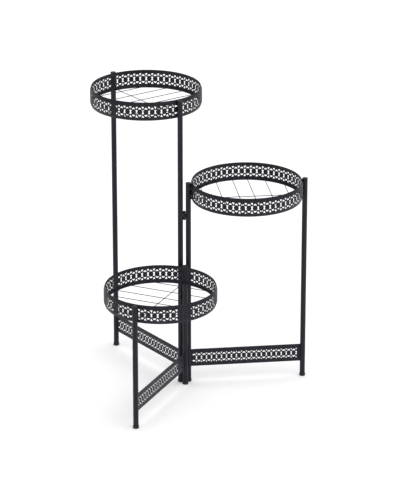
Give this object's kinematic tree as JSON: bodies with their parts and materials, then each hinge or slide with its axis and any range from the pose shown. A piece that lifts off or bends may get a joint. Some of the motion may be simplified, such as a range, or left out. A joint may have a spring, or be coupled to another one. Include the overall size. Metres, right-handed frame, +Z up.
{
  "type": "tiered plant stand",
  "caption": "Folding three-tier plant stand: three hinged steel tube frames of different height, each with a pierced round tray and crossbar.",
  "frame": {"origin": "on the floor, below the middle of the whole stand", "axes": "+Z up, +X along the middle frame from its inner post to its outer post"},
  "size_m": [0.4802, 0.4984, 0.679],
  "materials": {
    "post_powder_coat": "satin black powder coat on round steel tube",
    "pierced_powder_coat": "satin black powder coat on pierced steel strip",
    "wire_powder_coat": "satin black powder coat on steel wire",
    "cap_plastic": "moulded black polyethylene, fine matt",
    "pin_steel": "blackened steel pin, slightly worn at its heads"
  },
  "bodies": {
    "tall_frame": {"tall_outer_post": "post_powder_coat", "tall_outer_plug": "cap_plastic", "tall_outer_foot": "cap_plastic", "tall_inner_post": "post_powder_coat", "tall_inner_plug": "cap_plastic", "tall_inner_foot": "cap_plastic", "tall_crossbar": "pierced_powder_coat", "tall_tray_band": "pierced_powder_coat", "tall_tray_base_ring": "wire_powder_coat", "tall_tray_cross_wire": "wire_powder_coat", "tall_tray_floor_wires": "wire_powder_coat", "tall_tray_welds": "post_powder_coat", "middle_upper_hinge_fixed_knuckles": "post_powder_coat", "middle_upper_hinge_pin": "pin_steel", "middle_lower_hinge_fixed_knuckles": "post_powder_coat", "middle_lower_hinge_pin": "pin_steel"},
    "middle_frame": {"middle_outer_post": "post_powder_coat", "middle_outer_plug": "cap_plastic", "middle_outer_foot": "cap_plastic", "middle_inner_post": "post_powder_coat", "middle_inner_plug": "cap_plastic", "middle_inner_foot": "cap_plastic", "middle_crossbar": "pierced_powder_coat", "middle_tray_band": "pierced_powder_coat", "middle_tray_base_ring": "wire_powder_coat", "middle_tray_cross_wire": "wire_powder_coat", "middle_tray_floor_wires": "wire_powder_coat", "middle_tray_welds": "post_powder_coat", "middle_upper_hinge_moving_knuckle": "post_powder_coat", "middle_lower_hinge_moving_knuckle": "post_powder_coat", "low_upper_hinge_fixed_knuckles": "post_powder_coat", "low_upper_hinge_pin": "pin_steel", "low_lower_hinge_fixed_knuckles": "post_powder_coat", "low_lower_hinge_pin": "pin_steel"},
    "low_frame": {"low_outer_post": "post_powder_coat", "low_outer_plug": "cap_plastic", "low_outer_foot": "cap_plastic", "low_inner_post": "post_powder_coat", "low_inner_plug": "cap_plastic", "low_inner_foot": "cap_plastic", "low_crossbar": "pierced_powder_coat", "low_tray_band": "pierced_powder_coat", "low_tray_base_ring": "wire_powder_coat", "low_tray_cross_wire": "wire_powder_coat", "low_tray_floor_wires": "wire_powder_coat", "low_tray_welds": "post_powder_coat", "low_upper_hinge_moving_knuckle": "post_powder_coat", "low_lower_hinge_moving_knuckle": "post_powder_coat"}
  },
  "joints": [
    {"name": "middle_frame_fold", "type": "hinge", "parent": "tall_frame", "child": "middle_frame", "pos_m": [-0.0412, 0.00616, 0.105], "axis": [0, 0, 1], "range_deg": [-10, 75]},
    {"name": "low_frame_fold", "type": "hinge", "parent": "middle_frame", "child": "low_frame", "pos_m": [-0.03683, -0.00162, 0.105], "axis": [0, 0, 1], "range_deg": [-10, 75]}
  ]
}
